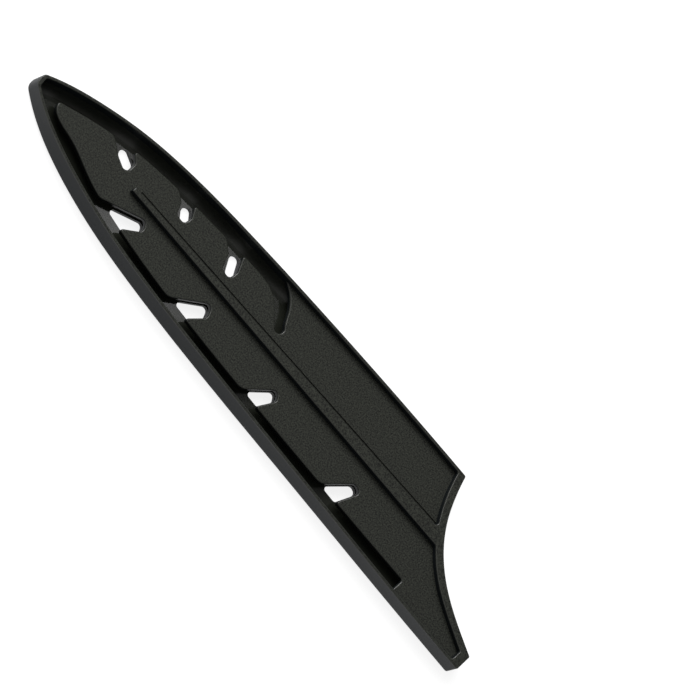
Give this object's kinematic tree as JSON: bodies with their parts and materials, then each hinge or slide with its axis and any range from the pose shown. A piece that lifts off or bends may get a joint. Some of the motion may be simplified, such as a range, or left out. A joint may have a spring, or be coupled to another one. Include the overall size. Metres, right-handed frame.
{
  "type": "knife blade guard",
  "caption": "Slim plastic sleeve for a kitchen knife's blade: thin raised rim, sunk face with a tapering rib, a spring tongue freed by a curved slot, slanted vents and an open concave mouth.",
  "frame": {"origin": "middle of the guard's footprint, on the flat back it rests on", "axes": "+X from the tip to the heel, +Y from the cutting-edge side to the spine side, +Z from the back to the front"},
  "size_m": [0.1292, 0.0252, 0.0064],
  "materials": {
    "charcoal_plastic": "fine matte texture on the faces, smooth satin walls"
  },
  "bodies": {
    "guard": {"front_shell": "charcoal_plastic", "back_shell": "charcoal_plastic"},
    "tongue": {"spring_tongue": "charcoal_plastic"}
  },
  "joints": [
    {"name": "tongue_flex", "type": "hinge", "parent": "guard", "child": "tongue", "pos_m": [-0.00249, 0, 0.00641], "axis": [0, 1, 0], "range_deg": [0, 1.5], "stiffness_Nm_per_rad": 0.5}
  ]
}
